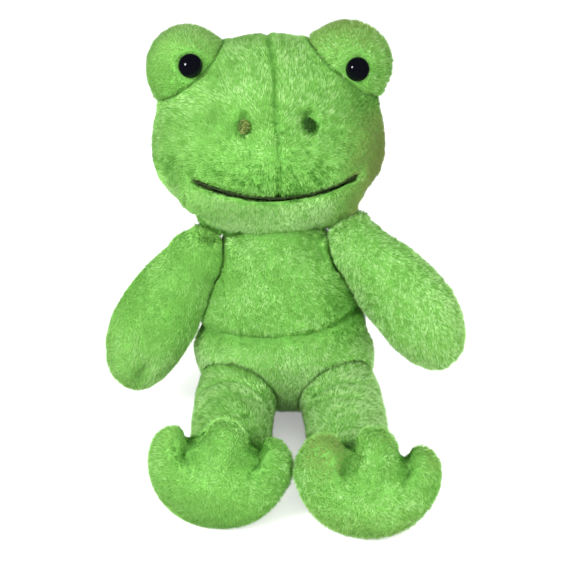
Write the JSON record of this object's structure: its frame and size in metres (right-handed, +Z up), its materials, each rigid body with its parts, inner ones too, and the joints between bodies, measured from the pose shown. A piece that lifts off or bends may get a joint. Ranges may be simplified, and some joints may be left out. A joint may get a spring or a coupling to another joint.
{
  "type": "plush frog",
  "caption": "Seated plush frog with a stuffed torso, head, arms and legs, webbed feet, glossy safety eyes and a smiling mouth, jointed at the neck, shoulders and hips.",
  "frame": {"origin": "the middle of the flat that the torso sits on, at floor level", "axes": "+Z up; the frog faces -Y, so its right side (named left here, as seen from the front) is towards -X"},
  "size_m": [0.2805, 0.2827, 0.3056],
  "materials": {
    "plush": "short fluffy pile",
    "mouth_fabric": "matte",
    "nostril_thread": "satin embroidery",
    "eye_plastic": "high gloss",
    "washer_plastic": "matte"
  },
  "bodies": {
    "torso": {"torso": "plush"},
    "head": {"head": "plush", "chin": "plush", "mouth_lining": "mouth_fabric", "nostril_left": "nostril_thread", "nostril_right": "nostril_thread", "eye_mound_left": "plush", "eye_mound_right": "plush", "eye_left": "eye_plastic", "eye_right": "eye_plastic", "eye_washer_left": "washer_plastic", "eye_washer_right": "washer_plastic"},
    "arm_left": {"arm_left": "plush"},
    "arm_right": {"arm_right": "plush"},
    "leg_left": {"leg_left": "plush", "foot_left": "plush"},
    "leg_right": {"leg_right": "plush", "foot_right": "plush"}
  },
  "joints": [
    {"name": "head_nod", "type": "hinge", "parent": "torso", "child": "head", "pos_m": [-0.0079, 0.00009, 0.12969], "axis": [1, 0, 0], "range_deg": [-10, 10]},
    {"name": "arm_left_lift", "type": "hinge", "parent": "torso", "child": "arm_left", "pos_m": [-0.07099, -0.00736, 0.13296], "axis": [0, 0.9744, -0.225], "range_deg": [0, 60]},
    {"name": "arm_right_lift", "type": "hinge", "parent": "torso", "child": "arm_right", "pos_m": [0.05455, -0.00568, 0.14026], "axis": [0, -0.9744, 0.225], "range_deg": [0, 60]},
    {"name": "leg_left_swing", "type": "hinge", "parent": "torso", "child": "leg_left", "pos_m": [-0.041, -0.0507, 0.033], "axis": [1, 0, 0], "range_deg": [-10, 75]},
    {"name": "leg_right_swing", "type": "hinge", "parent": "torso", "child": "leg_right", "pos_m": [0.041, -0.0507, 0.033], "axis": [1, 0, 0], "range_deg": [-10, 75]}
  ]
}
